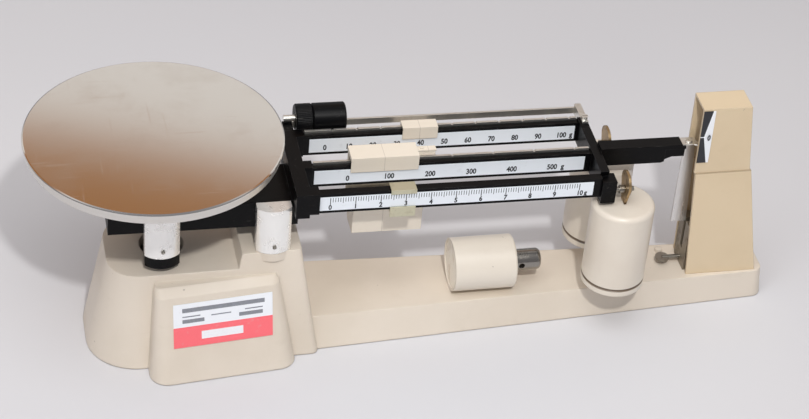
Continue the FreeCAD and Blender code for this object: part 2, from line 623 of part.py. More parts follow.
def poise_big():
    """The 500 g poise: a bent cap over the middle beam, side cheeks and a heavy body below."""
    left = "poise_big_left"
    right = "poise_big_left + poise_big_long"
    back = "middle_y + beam_thick"
    body = new_body("poise_500_cap", TILTED)
    box(body, (left, right), ("middle_y - 1.7", "9"),
        ("beam_high + rail_tall + 2.4", "beam_high + rail_tall + 5.2"))
    box(body, (left, right), ("middle_y - 1.7", "middle_y - 0.85"),
        ("beam_high - 3.5", "beam_high + rail_tall + 3"))
    box(body, (left, right), (f"{back} + 3.2", f"{back} + 4.8"),
        ("beam_low - 10", "beam_high + rail_tall + 3"))
    box(body, (left, right), ("middle_y - 6.6", f"{back} + 4.8"), ("beam_low - 10", "beam_low - 8"))
    tongue = new_body("poise_500_tongue", TILTED)
    box(tongue, (f"{right}", f"{right} + 12"), ("2.6", "7"),
        ("beam_high + rail_tall + 2.4", "beam_high + rail_tall + 3.4"))
    rod(tongue, "z", "1.2", (f"{right} + 3.2", "4.8", "beam_high + rail_tall + 3"), "1.2")
    weight = new_body("poise_500_weight", TILTED)
    box(weight, (f"{left} + poise_big_shift", f"{right} + poise_big_over"),
        ("middle_y - poise_big_front", f"{back} + poise_big_back"),
        ("poise_big_low", "beam_low - poise_big_floor"))


def poise_small():
    """The 100 g poise: a bent cap over the rear beam with a small body below."""
    left = "poise_small_left"
    right = "poise_small_left + poise_small_long"
    back = "rear_y + beam_thick"
    body = new_body("poise_100_cap", TILTED)
    box(body, (left, right), ("rear_y - 1.6", f"{back} + 1.6"),
        ("beam_high + rail_tall + 0.9", "beam_high + rail_tall + 2.3"))
    box(body, (left, right), ("rear_y - 1.6", "rear_y - 0.9"),
        ("beam_high - 4.5", "beam_high + rail_tall + 1.4"))
    box(body, (left, right), (f"{back} + 0.6", f"{back} + 1.6"),
        ("beam_low - 4", "beam_high + rail_tall + 1.4"))
    box(body, (left, right), ("rear_y - 1.6", f"{back} + 1.6"), ("beam_low - 4", "beam_low - 2"))
    weight = new_body("poise_100_weight", TILTED)
    box(weight, (left, right), ("rear_y - 1.6", f"{back} + 1.6"), ("beam_low - 16", "beam_low - 4"))


def rider():
    """The spring clip that rides on the front beam, with a lip above and below the scale."""
    body = new_body("rider", TILTED)
    left = "rider_left"
    right = "rider_left + rider_long"
    back = "front_y + beam_thick"
    box(body, (left, right), ("front_y - 1.5", f"{back} + 1.3"), ("beam_high + 0.4", "beam_high + 1.2"))
    box(body, (left, right), (f"{back} + 0.5", f"{back} + 1.3"), ("beam_low - 1.2", "beam_high + 1"))
    box(body, (left, right), ("front_y - 1.5", f"{back} + 1.3"), ("beam_low - 1.2", "beam_low - 0.4"))
    box(body, (left, right), ("front_y - 1.7", "front_y - 0.9"), ("beam_high - 1.7", "beam_high + 1.2"))
    box(body, (left, right), ("front_y - 1.7", "front_y - 0.9"), ("beam_low - 4.6", "beam_low + 2.4"))


def tare():
    """The tare weight at the back: a drum and its ring on a stud, riding a flat bar."""
    across = ("tare_y - bar_thick / 2", "tare_y + bar_thick / 2")
    bar = new_body("tare_bar", TILTED)
    box(bar, ("yoke_left + 9", "cross_right - 4"), across, ("bar_high - bar_tall", "bar_high"))
    bracket = new_body("tare_bracket", TILTED)
    box(bracket, ("cross_right - 4", "cross_right"), ("frame_half", "tare_y + bar_thick / 2"),
        ("bar_high - bar_tall", "frame_high + 1.2"))
    box(bracket, ("cross_right - 4", "cross_right"), ("frame_half - 7", "frame_half + 0.1"),
        ("frame_high", "frame_high + 1.2"))
    screw = new_body("tare_bracket_screw", TILTED)
    rod(screw, "z", "2.2", ("cross_right - 2", "frame_half - 3.5", "frame_high + 1.2"), "2.2")
    box(screw, ("cross_right - 6", "cross_right + 2"), ("frame_half - 3.8", "frame_half - 3.2"),
        ("frame_high + 2.8", "frame_high + 4"), cut=True)
    slot = ("tare_y - bar_thick / 2 - gap", "tare_y + bar_thick / 2 + gap")
    drop = ("tare_z - tare_rad - 1", "bar_high + gap")
    for label, start, long in (("tare_ring", "tare_left", "tare_ring - play"),
                               ("tare_drum", "tare_left + tare_ring", "tare_drum")):
        body = new_body(label, TILTED)
        edge = rod(body, "x", "tare_rad", (start, "tare_y", "tare_z"), long)
        rounded(body, edge, "0.7", lambda e: len(e.Vertexes) == 1, kind="Chamfer")
        box(body, (f"({start}) - 1", f"({start}) + ({long}) + 1"), slot, drop, cut=True)
        if label == "tare_ring":
            rod(body, "x", "stud_rad + play", (f"({start}) - 1", "tare_y", "tare_z + stud_rise"),
                f"({long}) + 2", cut=True)
    stud = new_body("tare_stud", TILTED)
    rod(stud, "x", "stud_rad", ("tare_left - 7", "tare_y", "tare_z + stud_rise"), "7 + tare_ring - play")


def hung_weight(word, centre_y, pin_start):
    """A drum weight on a pointed plate that hangs on a pin of the cross member."""
    pin = new_body(f"hanger_pin_{word}", TILTED)
    rod(pin, "x", "pin_rad", (pin_start, centre_y, "pin_z"), f"hanger_x + 5.6 - ({pin_start})")
    rod(pin, "x", "2.6", ("hanger_x - 3.6", centre_y, "pin_z"), "3")
    rod(pin, "x", "2.6", ("hanger_x + hanger_thick + 0.8", centre_y, "pin_z"), "1.6")
    plate = new_body(f"hanger_plate_{word}")
    half = "hanger_wide / 2"
    hole = f"(pin_z - {DROP})"
    top = "weight_low + weight_long"
    side = [(f"{centre_y} - 2", f"{top} - 3"), (f"{centre_y} + 2", f"{top} - 3"),
            (f"{centre_y} + {half}", f"{hole} + 4", "2"),
            (f"{centre_y} + {half}", f"{hole} + 12", "7"), (f"{centre_y} - {half}", f"{hole} + 12", "7"),
            (f"{centre_y} - {half}", f"{hole} + 4", "2")]
    pad(plate, side, "hanger_thick", role="YZ_Plane", offset="hanger_x")
    rod(plate, "x", "pin_rad + play", ("hanger_x - 2", centre_y, hole), "hanger_thick + 4", cut=True)
    middle = "hanger_x + hanger_thick / 2"
    weight = new_body(f"hung_weight_{word}")
    drum = rod(weight, "z", "weight_rad", (middle, centre_y, "weight_low"), "weight_long")
    crown = value(top)
    rounded(weight, drum, "3", lambda e: len(e.Vertexes) == 1 and abs(e.BoundBox.ZMin - crown) < 0.01)
    groove = feature(weight, "SubtractiveTorus")
    groove.setExpression("Radius1", bound("weight_rad + 0.1"))
    groove.setExpression("Radius2", bound("weight_seam"))
    place(groove, middle, centre_y, "weight_low + 4.6")
    box(weight, ("hanger_x - play", "hanger_x + hanger_thick + play"),
        (f"{centre_y} - 3.6", f"{centre_y} + 3.6"),
        (f"{top} - 3 - play", f"{top} + 1"), cut=True)


def spare_weight():
    """The loose weight that lies on the tray, its stem to the right."""
    centre = "tray_top + spare_rad + play"
    body = new_body("spare_weight")
    item = rod(body, "x", "spare_rad", ("spare_left", "spare_y", centre), "spare_long")
    right = value("spare_left + spare_long")
    rounded(body, item, "1.6", lambda e: len(e.Vertexes) == 1 and abs(e.BoundBox.XMin - right) < 0.01)
    rod(body, "x", "spare_rad - 1.4", ("spare_left - 1", "spare_y", centre), "2.6", cut=True)
    cap = new_body("spare_end_cap")
    rod(cap, "x", "spare_rad - 1.5", ("spare_left + 0.7", "spare_y", centre), "0.9")
    stem = new_body("spare_stem")
    tip = rod(stem, "x", "stem_rad", ("spare_left + spare_long", "spare_y", centre), "stem_long")
    end = value("spare_left + spare_long + stem_long")
    rounded(stem, tip, "2.6", lambda e: len(e.Vertexes) == 1 and abs(e.BoundBox.XMin - end) < 0.01)
    rod(stem, "y", "1.9", ("spare_left + spare_long + 5", "spare_y - 9", centre), "18", cut=True)


base()
for side, word in ((-1, "front"), (1, "rear")):
    fulcrum_bearing(f"fulcrum_bearing_{word}", side)
    cover(f"fulcrum_cover_{word}", "fulcrum_x", side, "cover_low")
    cover(f"pan_cover_{word}", "knife_x", side, "cover_low + 2", rise=LIFT)
    screw_head(f"fulcrum_cover_screw_{word}", "fulcrum_x", f"{side} * cover_front", "cover_low + 5.4", side)
    screw_head(f"pan_cover_screw_{word}", "knife_x", f"{side} * cover_front", "cover_low + 7.6", side)
label_plate()
tower()
index_plate()
damper_magnets()
thumb_screw()
pan()
carrier()
carrier_stem()
check_link()
check_pivot()
beam_arm()
knives()
for word, face in (("front", "front_y"), ("middle", "middle_y"), ("rear", "rear_y")):
    beam(f"beam_{word}", face)
scale_plate("scale_plate_front", "front_y", "plate_front_left", "plate_front_right")
scale_plate("scale_plate_middle", "middle_y", "plate_middle_left", "plate_middle_right")
scale_plate("scale_plate_rear", "rear_y", "plate_rear_left", "plate_rear_right")
notched_rail("notched_rail_middle", "middle_y", "middle_notch_start", "middle_notch_pitch", 6)
notched_rail("notched_rail_rear", "rear_y", "rear_notch_start", "rear_notch_pitch", 11)
cross_member()
nose()
pointer()
damper_vane()
poise_big()
poise_small()
rider()
tare()
hung_weight("front", "-(weight_rad + weight_front_room)", "cross_right + 3.6")
hung_weight("rear", "(weight_rad + weight_rear_room)", "cross_right")
spare_weight()

doc.recompute()
faults = [item.Name for item in doc.Objects if "Invalid" in item.State or "Error" in item.State]
faults += [body.Label for body in parts if body.Shape.isNull() or not body.Shape.isValid()]
faults += [body.Label + " in pieces" for body in parts if len(body.Shape.Solids) != 1]
if faults:
    raise SystemExit("not written, because these failed: " + ", ".join(faults))
for body in parts:
    body.Shape.exportStep(f"parts/{body.Label}.step")
print(len(parts), "parts written")
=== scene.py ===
import json
import math

import bmesh
import bpy
from mathutils import Matrix, Vector


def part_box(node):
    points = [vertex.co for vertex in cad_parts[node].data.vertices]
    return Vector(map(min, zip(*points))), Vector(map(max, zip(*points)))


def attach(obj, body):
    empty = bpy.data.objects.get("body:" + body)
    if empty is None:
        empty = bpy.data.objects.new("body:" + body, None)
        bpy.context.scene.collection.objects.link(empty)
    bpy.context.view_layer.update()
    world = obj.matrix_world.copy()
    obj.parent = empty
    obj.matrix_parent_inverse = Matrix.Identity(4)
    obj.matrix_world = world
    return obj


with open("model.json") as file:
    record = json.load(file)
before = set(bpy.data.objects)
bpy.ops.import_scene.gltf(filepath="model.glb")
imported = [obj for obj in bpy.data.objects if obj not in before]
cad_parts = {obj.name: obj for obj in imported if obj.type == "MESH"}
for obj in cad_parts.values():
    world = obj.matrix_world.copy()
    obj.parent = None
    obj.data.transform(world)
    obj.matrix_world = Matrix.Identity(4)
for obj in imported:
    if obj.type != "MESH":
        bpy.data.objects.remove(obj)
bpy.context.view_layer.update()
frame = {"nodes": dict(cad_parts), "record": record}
nodes = frame["nodes"]
MM = 0.001

# heights and places are in millimetres
EDGE_STARTS = 0.06
EDGE_FULL = 0.3
PLATING_DEPTH = 0.02
PLATING_EDGE = 0.2
GRAIN_FINE = 600
KNURL_TEETH = 56.0
RING_SCALE = 2600.0
SKIRT_TOP = 143.6
ROLL_TOP = 144.3
INDEX_ZERO = 124.9
INDEX_POINT = 335.3
INDEX_LEAN_UP = 3.4 / 19.1
INDEX_LEAN_DOWN = 4.0 / 19.4


# ------------------------------------------------------------------ shader arithmetic
class Socket:
    """One shader output that can be used in Python arithmetic."""

    def __init__(self, maker, link):
        self.maker = maker
        self.link = link

    def __add__(self, other):
        return self.maker.math("ADD", self, other)

    __radd__ = __add__

    def __sub__(self, other):
        return self.maker.math("SUBTRACT", self, other)

    def __rsub__(self, other):
        return self.maker.math("SUBTRACT", other, self)

    def __mul__(self, other):
        return self.maker.math("MULTIPLY", self, other)

    __rmul__ = __mul__

    def __pow__(self, other):
        return self.maker.math("POWER", self, other)

    def size(self):
        return self.maker.math("ABSOLUTE", self)


PLAIN = {
    "coat_weight": "Coat Weight",
    "coat_roughness": "Coat Roughness",
    "specular": "Specular IOR Level",
}


class Finish:
    """Builds one material: nodes in, a finished surface out."""

    def __init__(self, name):
        self.material = bpy.data.materials.new(name)
        self.material.use_nodes = True
        self.tree = self.material.node_tree
        self.tree.nodes.clear()
        place = self.tree.nodes.new("ShaderNodeTexCoord")
        self.place = Socket(self, place.outputs["Object"])

    def node(self, kind, settings=None, inputs=None, output=0):
        made = self.tree.nodes.new(kind)
        for key, setting in (settings or {}).items():
            setattr(made, key, setting)
        for key, given in (inputs or {}).items():
            if isinstance(given, Socket):
                self.tree.links.new(given.link, made.inputs[key])
            else:
                made.inputs[key].default_value = given
        return Socket(self, made.outputs[output])

    def math(self, operation, first, second=0.0):
        return self.node("ShaderNodeMath", {"operation": operation}, {0: first, 1: second})

    def axis(self, letter):
        return self.node("ShaderNodeSeparateXYZ", inputs={0: self.place}, output="XYZ".index(letter.upper()))

    def noise(self, scale, detail=4.0, roughness=0.55, stretch=(1, 1, 1), shift=0.0):
        move = (shift, shift, shift)
        at = self.node("ShaderNodeMapping", inputs={"Vector": self.place, "Scale": stretch, "Location": move})
        grain = {"Vector": at, "Scale": scale, "Detail": detail, "Roughness": roughness}
        return self.node("ShaderNodeTexNoise", inputs=grain)

    def ramp(self, value, low, high):
        """0 below low, 1 above high, smooth between."""
        settings = {"interpolation_type": "SMOOTHSTEP", "clamp": True}
        return self.node("ShaderNodeMapRange", settings, {"Value": value, "From Min": low, "From Max": high})

    def mix(self, factor, first, second):
        made = self.tree.nodes.new("ShaderNodeMix")
        made.data_type = "RGBA"
        for socket, given in ((made.inputs[0], factor), (made.inputs[6], first), (made.inputs[7], second)):
            if isinstance(given, Socket):
                self.tree.links.new(given.link, socket)
            else:
                socket.default_value = given
        return Socket(self, made.outputs[2])

    def edges(self, width):
        """1 along sharp edges, 0 on the flats."""
        true = self.node("ShaderNodeNewGeometry", output="True Normal")
        soft = self.node("ShaderNodeBevel", {"samples": 8}, {"Radius": width * MM})
        flat = self.node("ShaderNodeVectorMath", {"operation": "DOT_PRODUCT"}, {0: true, 1: soft}, "Value")
        return self.ramp(1 - flat, EDGE_STARTS, EDGE_FULL)

    def line(self, value, middle, half):
        """1 within half a width of the middle (millimetres), 0 outside."""
        return self.ramp((value - middle * MM).size(), half * 1.3 * MM, half * 0.7 * MM)

    def bump(self, height, depth, strength, soften=0.0):
        inputs = {"Height": height, "Distance": depth * MM, "Strength": strength}
        if soften:
            inputs["Normal"] = self.node("ShaderNodeBevel", {"samples": 6}, {"Radius": soften * MM})
        return self.node("ShaderNodeBump", inputs=inputs)

    def finish(self, color, roughness, normal=None, metallic=0.0, **plain):
        surface = self.tree.nodes.new("ShaderNodeBsdfPrincipled")
        varied = {"Base Color": color, "Roughness": roughness, "Metallic": metallic, "Normal": normal}
        for key, given in varied.items():
            if isinstance(given, Socket):
                self.tree.links.new(given.link, surface.inputs[key])
            elif given is not None:
                surface.inputs[key].default_value = given
        for key, given in plain.items():
            surface.inputs[PLAIN[key]].default_value = given
        out = self.tree.nodes.new("ShaderNodeOutputMaterial")
        self.tree.links.new(surface.outputs[0], out.inputs[0])
        return self.material


def shade(red, green, blue):
    """A display colour, 0 to 255 a channel, as linear light."""
    shares = [channel / 255 for channel in (red, green, blue)]
    linear = [((share + 0.055) / 1.055) ** 2.4 if share > 0.0404 else share / 12.92 for share in shares]
    return (*linear, 1.0)


# ------------------------------------------------------------------ finishes
def enamel(name, tint, grime, soften, gloss=0.42, specks=0.35, shift=0.0, seam_and_shade_lines=()):
    """Sprayed enamel: fine orange peel, cloudy handling marks, rubbed edges, dark nicks, and dark lines along
    seams and steps, the line in the hung weights' groove being painted shade.
    """
    f = Finish(name)
    cloud = f.ramp(f.noise(14, 5, shift=shift), 0.42, 0.72)
    fine = f.noise(900, 3)
    smear = f.ramp(f.noise(45, 6, 0.65, (1, 1, 2.5), shift + 3.1), 0.58, 0.8)
    chip = f.ramp(f.noise(260, 2, shift=shift + 7.7), 0.735, 0.78)
    nick = chip * f.ramp(f.noise(30, 2, shift=shift + 1.3), 0.5, 0.6)
    rubbed = f.edges(max(soften, 0.4)) * f.ramp(f.noise(70, 4, shift=shift), 0.42, 0.62)
    color = f.mix(cloud * 0.35, tint, grime)
    color = f.mix(smear * 0.22, color, grime)
    color = f.mix(rubbed * 0.35, color, shade(244, 236, 222))
    for letter, middle, half, depth in seam_and_shade_lines:
        # dark lines: at the poise's seams, along the tower's step, and painted shade in the hung weights'
        # groove
        color = f.mix(f.line(f.axis(letter), middle, half) * depth, color, shade(92, 70, 46))
    color = f.mix(nick * specks, color, shade(96, 78, 62))
    rough = gloss + cloud * 0.1 + smear * 0.08 + (fine - 0.5) * 0.06
    normal = f.bump(fine * 0.5 + f.noise(320, 2) * 0.8, 0.05, 0.5, soften)
    return f.finish(color, rough, normal, coat_weight=0.12, coat_roughness=0.25)


def black_satin(name, tint=(3, 3, 4), gloss=0.3, dust=0.35, knurl=False):
    """Satin black with a little dust, small bright nicks and edges worn to grey."""
    f = Finish(name)
    cloud = f.ramp(f.noise(60, 5), 0.45, 0.7)
    speck = f.ramp(f.noise(1400, 2), 0.68, 0.74) * f.ramp(f.noise(90, 2, shift=2.0), 0.45, 0.6)
    lint = f.ramp(f.noise(500, 3, 0.6, (0.2, 1, 1)), 0.7, 0.76)
    worn = f.edges(0.35) * f.ramp(f.noise(110, 5, shift=4.0), 0.44, 0.6)
    color = f.mix(cloud * 0.4, shade(*tint), shade(tint[0] + 6, tint[1] + 6, tint[2] + 7))
    color = f.mix((speck + lint * 0.4) * dust, color, shade(120, 116, 110))
    color = f.mix(worn * 0.45, color, shade(128, 126, 124))
    rough = gloss + cloud * 0.12 + (f.noise(700, 3) - 0.5) * 0.1
    height = f.noise(800, 3)
    if knurl:
        low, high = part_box("tare_ring")
        across = f.axis("y") - (low[1] + high[1]) / 2
        above = f.axis("z") - (low[2] + high[2]) / 2
        height = height * 0.2 + f.math("SINE", f.math("ARCTAN2", across, above) * KNURL_TEETH) * 2.0
    return f.finish(color, rough, f.bump(height, 0.08 if knurl else 0.04, 0.5, 0.35), specular=0.14)


def bare_metal(name, tint, stain, rough, blotch, grain=(1, 1, 1), metallic=0.92):
    """Bare or plated metal with blotches and a fine grain."""
    f = Finish(name)
    patch = f.ramp(f.noise(120, 5, 0.6), 0.5, 0.68)
    dots = f.ramp(f.noise(420, 4, 0.6, shift=5.0), 0.62, 0.7)
    lines = f.noise(GRAIN_FINE, 4, 0.6, grain)
    color = f.mix(patch * blotch, tint, stain)
    color = f.mix(dots * blotch, color, stain)
    rough = rough + patch * 0.14 + (lines - 0.5) * 0.12
    return f.finish(color, rough, f.bump(lines, PLATING_DEPTH, 0.4, PLATING_EDGE), metallic=metallic)


def pan_steel():
    """The pan: turned steel with fine rings, crossing scratches and a soft bloom of handling; its skirt is
    rougher, and its colour is painted darker as shade.
    """
    f = Finish("pan_steel")
    x = f.axis("x")
    y = f.axis("y")
    z = f.axis("z")
    out = (x * x + y * y) ** 0.5
    turned = {"W": out, "Scale": RING_SCALE, "Detail": 2.0}
    rings = f.node("ShaderNodeTexNoise", {"noise_dimensions": "1D"}, turned)
    bloom = f.ramp(f.noise(26, 5, 0.6), 0.45, 0.75)
    along = f.ramp(f.noise(60, 3, 0.5, (0.35, 9, 1)), 0.66, 0.7)
    scratch = along + f.ramp(f.noise(70, 3, 0.5, (8, 0.4, 1), 4.0), 0.68, 0.72)
    # the skirt below the rim: a rougher finish (real), and colour painted darker as shade
    skirt_dull_and_shade = 1 - f.ramp(z, SKIRT_TOP * MM, ROLL_TOP * MM)
    color = f.mix(bloom * 0.25, shade(232, 228, 222), shade(214, 206, 196))
    color = f.mix(skirt_dull_and_shade * 0.8, color, shade(216, 213, 208))
    rough = 0.075 + bloom * 0.025 + scratch * 0.03 + (rings - 0.5) * 0.03 + skirt_dull_and_shade * 0.3
    normal = f.bump(rings * 0.5 + scratch * 0.12 + f.noise(900, 2) * skirt_dull_and_shade, 0.004, 0.35)
    return f.finish(color, rough, normal, metallic=1.0)


def plate_print():
    """The scale plates: bluish white with small stains."""
    f = Finish("plate_white")
    stain = f.ramp(f.noise(160, 5, 0.6), 0.6, 0.78)
    color = f.mix(stain * 0.3, shade(232, 238, 244), shade(196, 200, 204))
    return f.finish(color, 0.36 + stain * 0.15, f.bump(f.noise(900, 2), 0.01, 0.4, 0.1))


def label_print():
    """The label: white above, a coral band below, a little yellowed and rubbed."""
    f = Finish("label_print")
    low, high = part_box("label_plate")
    split = low[2] + (high[2] - low[2]) * 0.47
    band = f.ramp(f.axis("z"), split - 0.12 * MM, split + 0.12 * MM)
    rub = f.ramp(f.noise(220, 5, 0.6), 0.58, 0.75)
    color = f.mix(band, shade(252, 112, 120), shade(240, 243, 248))
    color = f.mix(rub * 0.2, color, shade(214, 196, 190))
    return f.finish(color, 0.4 + rub * 0.2, f.bump(f.noise(700, 2), 0.01, 0.4, 0.1), coat_weight=0.2)


def index_print():
    """The index plate: a white wedge with a zero line on black."""
    f = Finish("index_print")
    x = f.axis("x")
    z = f.axis("z")
    zero = INDEX_ZERO * MM
    upper = f.ramp(z - zero, 0.0, 0.00001)
    above = (z - zero) * INDEX_LEAN_UP + INDEX_POINT * MM
    under = (zero - z) * INDEX_LEAN_DOWN + INDEX_POINT * MM
    edge = above * upper + under * (1 - upper)
    white = f.ramp(x - edge, -0.05 * MM, 0.05 * MM)
    line = f.ramp((z - zero).size(), 0.34 * MM, 0.26 * MM)
    color = f.mix(white, shade(34, 36, 42), shade(240, 243, 247))
    color = f.mix(line, color, shade(236, 240, 245))
    return f.finish(color, 0.35 + f.noise(500, 3) * 0.08, f.bump(f.noise(800, 2), 0.01, 0.4))


def ink():
    f = Finish("ink")
    color = f.mix(f.noise(900, 2), shade(9, 10, 14), shade(30, 32, 38))
    return f.finish(color, 0.5 + f.noise(400, 2) * 0.1)


def soft_print(name, tint):
    f = Finish(name)
    color = f.mix(f.noise(700, 3) * 0.3, tint, shade(200, 200, 204))
    return f.finish(color, 0.45 + f.noise(400, 2) * 0.1)


def vane_silver():
    """The damper vane: bright rolled sheet with long soft streaks."""
    f = Finish("vane_silver")
    streak = f.noise(90, 4, 0.55, (3, 1, 0.12))
    color = f.mix(f.ramp(streak, 0.4, 0.65) * 0.5, shade(226, 224, 222), shade(168, 164, 160))
    return f.finish(color, 0.22 + streak * 0.15, f.bump(streak, 0.02, 0.4, 0.15), metallic=0.95)


# a dark line painted along the tower's step
TOWER_STEP_LINE = ("z", 97.0, 0.35, 0.45)
POISE_SEAMS = (("x", 137.7, 0.2, 0.25), ("x", 166.0, 0.2, 0.25))
WEIGHT_TINT = shade(228, 219, 205)
WEIGHT_GRIME = shade(206, 192, 176)
GROOVE_RISE = 4.6
# painted shade: a dark line in the hung weights' groove, just above their bottom
groove_shade = ("z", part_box("hung_weight_front")[0][2] / MM + GROOVE_RISE, 1.0, 0.9)
hung_enamel = enamel("hung_weight_enamel", WEIGHT_TINT, WEIGHT_GRIME, 0.8, 0.3, 0.5, 6.0, (groove_shade,))

FINISHES = {
    "base_paint": enamel("base_enamel", shade(224, 213, 198), shade(202, 189, 170), 1.2),
    "tower_plastic": enamel(
        "tower_moulding", shade(220, 200, 168), shade(200, 179, 144), 0.7, 0.38, 0.25, 2.0, (TOWER_STEP_LINE,)
    ),
    "weight_paint": enamel("weight_enamel", WEIGHT_TINT, WEIGHT_GRIME, 0.8, 0.3, 0.5, 5.0),
    "poise_paint": enamel(
        "poise_enamel", shade(233, 223, 207), shade(216, 204, 184), 0.4, 0.36, 0.4, 9.0, POISE_SEAMS
    ),
    "bearing_stone": enamel("bearing_agate", shade(150, 92, 78), shade(110, 62, 52), 0.1, 0.2, 0.2, 11.0),
    "beam_black": black_satin("beam_satin"),
    "drum_black": black_satin("drum_satin", (9, 9, 11), 0.34, 0.5),
    "plate_print": plate_print(),
    "label_print": label_print(),
    "pan_steel": pan_steel(),
}
# slot: name, tint, stain, roughness, blotch, stretch of the grain, metallic
EVEN = (1, 1, 1)
METALS = {
    "end_metal": ("end_steel", (248, 242, 230), (196, 178, 150), 0.3, 0.4, EVEN, 0.0),
    "chrome": ("stem_chrome", (150, 146, 140), (92, 84, 74), 0.16, 0.35, EVEN, 0.92),
    "rail_metal": ("rail_silver", (226, 224, 218), (182, 172, 154), 0.32, 0.25, (0.1, 1, 1), 0.92),
    "cover_nickel": ("cover_nickel", (250, 249, 246), (210, 204, 194), 0.2, 0.22, EVEN, 0.6),
    "screw_steel": ("screw_steel", (150, 146, 138), (74, 68, 58), 0.3, 0.5, EVEN, 0.92),
    "knife_steel": ("knife_steel", (170, 170, 174), (110, 108, 104), 0.25, 0.25, EVEN, 0.92),
    "brass": ("hanger_brass", (176, 150, 112), (84, 64, 42), 0.34, 0.6, EVEN, 0.92),
    "rider_metal": ("rider_metal", (206, 202, 176), (160, 150, 120), 0.36, 0.35, EVEN, 0.7),
    "magnet": ("magnet_steel", (150, 140, 124), (88, 78, 66), 0.4, 0.5, EVEN, 0.6),
}
for slot_name, (name, tint, stain, rough, blotch, grain, metallic) in METALS.items():
    FINISHES[slot_name] = bare_metal(name, shade(*tint), shade(*stain), rough, blotch, grain, metallic)
OWN = {
    "index_plate": index_print(),
    "damper_vane": vane_silver(),
    "tare_ring": black_satin("ring_knurled", (9, 9, 11), 0.34, 0.5, True),
    "hung_weight_front": hung_enamel,
    "hung_weight_rear": hung_enamel,
}
INK = ink()
PALE_INK = soft_print("bar_grey", shade(120, 124, 132))
WHITE_INK = soft_print("bar_white", shade(246, 246, 250))

for entry in frame["record"]["subparts"]:
    finish = OWN.get(entry["node"], FINISHES[entry["material_slot"]])
    for slot in nodes[entry["node"]].material_slots:
        slot.material = finish


# ------------------------------------------------------------------ printed marks
BEAM_TILT = 0.658
FULCRUM = Vector((68.6, 0.0, 94.0)) * MM
ON_BEAM = (
    Matrix.Translation(FULCRUM)
    @ Matrix.Rotation(math.radians(BEAM_TILT), 4, "Y")
    @ Matrix.Translation(-FULCRUM)
)
UPRIGHT = Matrix.Rotation(math.radians(90), 4, "X")
CAP_SHARE = 0.72
TYPE_DEPTH = 0.02
TYPE_WEIGHT = 0.18
PROUD = 0.03
PLATE_TOP = 113.5
FRONT_FACE = -29.45
MIDDLE_FACE = -3.52
REAR_FACE = 28.45


def marked_piece(name, mesh, material, body):
    """A piece of print that rides on a body."""
    mesh.materials.clear()
    mesh.materials.append(material)
    piece = bpy.data.objects.new(name, mesh)
    bpy.context.collection.objects.link(piece)
    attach(piece, body)
    return piece


def thin_blocks(name, blocks, turn):
    """One mesh of thin blocks, each (x0, x1, y0, y1, z0, z1) in millimetres."""
    mesh = bpy.data.meshes.new(name)
    made = bmesh.new()
    for x0, x1, y0, y1, z0, z1 in blocks:
        middle = Vector(((x0 + x1) / 2, (y0 + y1) / 2, (z0 + z1) / 2)) * MM
        size = Matrix.Diagonal(Vector((x1 - x0, y1 - y0, z1 - z0, 1 / MM)) * MM)
        bmesh.ops.create_cube(made, size=1.0, matrix=turn @ Matrix.Translation(middle) @ size)
    made.to_mesh(mesh)
    made.free()
    marked_piece(name, mesh, INK, "beam")


def printed(name, text, foot, tall, body, turn=ON_BEAM, squeeze=0.82):
    """A printed numeral standing a hair proud of its plate; foot is the middle of its foot."""
    curve = bpy.data.curves.new(name, "FONT")
    curve.body = text
    curve.align_x = "CENTER"
    curve.size = tall * MM / CAP_SHARE
    curve.extrude = TYPE_DEPTH * MM
    curve.offset = TYPE_WEIGHT * MM
    curve.resolution_u = 3
    words = bpy.data.objects.new(name + "_type", curve)
    bpy.context.collection.objects.link(words)
    bpy.context.view_layer.update()
    mesh = bpy.data.meshes.new_from_object(words.evaluated_get(bpy.context.evaluated_depsgraph_get()))
    bpy.data.objects.remove(words)
    place = Matrix.Translation(Vector(foot) * MM)
    mesh.transform(turn @ place @ UPRIGHT @ Matrix.Diagonal(Vector((squeeze, 1, 1, 1))))
    marked_piece(name, mesh, INK, body)


def front_scale():
    """0 to 10 g by tenths, hung from the plate's upper edge, numerals below."""
    first = 100.55
    gram = 15.24
    top = PLATE_TOP - 0.5
    foot = PLATE_TOP - 8.9
    tall = 3.4
    marks = []
    for step in range(101):
        x = first + gram * step / 10
        drop = 4.8 if step % 10 == 0 else 4.0 if step % 5 == 0 else 3.1
        half = 0.24 if step % 10 == 0 else 0.17
        marks.append((x - half, x + half, FRONT_FACE - 0.04, FRONT_FACE + 0.02, top - drop, top))
    thin_blocks("front_scale_marks", marks, ON_BEAM)
    for number in range(11):
        x = first + gram * number + (0.6 if number == 10 else 0)
        printed(f"front_numeral_{number}", str(number), (x, FRONT_FACE - PROUD, foot), tall, "beam")
    printed("front_unit", "g", (first + gram * 10 + 4.2, FRONT_FACE - PROUD, foot), tall, "beam")


def notch_scale(word, face, first, pitch, step, count, last_gap):
    """Numerals at an even pitch, one for each notch of the rail above, and the unit after the last."""
    foot = PLATE_TOP - 8.0
    tall = 3.8
    for number in range(count):
        place = (first + pitch * number, face - PROUD, foot)
        printed(f"{word}_numeral_{number}", str(number * step), place, tall, "beam", squeeze=0.8)
    printed(f"{word}_unit", "g", (first + pitch * (count - 1) + last_gap, face - PROUD, foot), tall, "beam")


